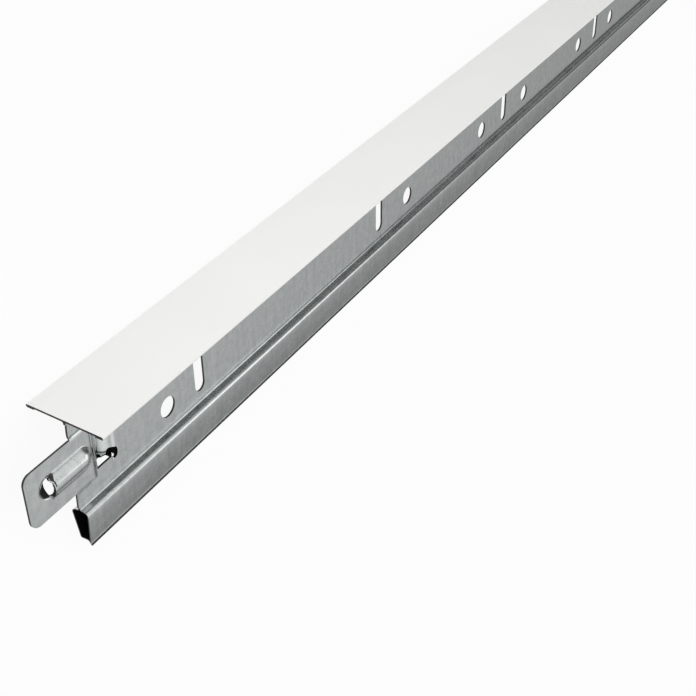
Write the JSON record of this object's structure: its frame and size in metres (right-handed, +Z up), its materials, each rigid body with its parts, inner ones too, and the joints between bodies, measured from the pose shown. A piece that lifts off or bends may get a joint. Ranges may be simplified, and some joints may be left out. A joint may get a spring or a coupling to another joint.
{
  "type": "ceiling grid tee",
  "caption": "Ceiling grid main tee: galvanised T profile with hollow bulb, slotted web, coupling tongues and a white hemmed face strip.",
  "frame": {"origin": "middle of the bounding box, on the floor that the tee lies on", "axes": "+X along the tee from the near end to the far end, +Y towards the visible face, +Z up; the tee lies on its side, on the hem and the foot of the bulb"},
  "size_m": [3.632, 0.0404, 0.023],
  "materials": {
    "galvanised_steel": "hot-dip galvanised roll-formed strip, satin",
    "white_prepaint": "matt white coil-coated steel"
  },
  "bodies": {
    "root": {"tee_body": "galvanised_steel", "face_cap": "white_prepaint"}
  },
  "joints": []
}
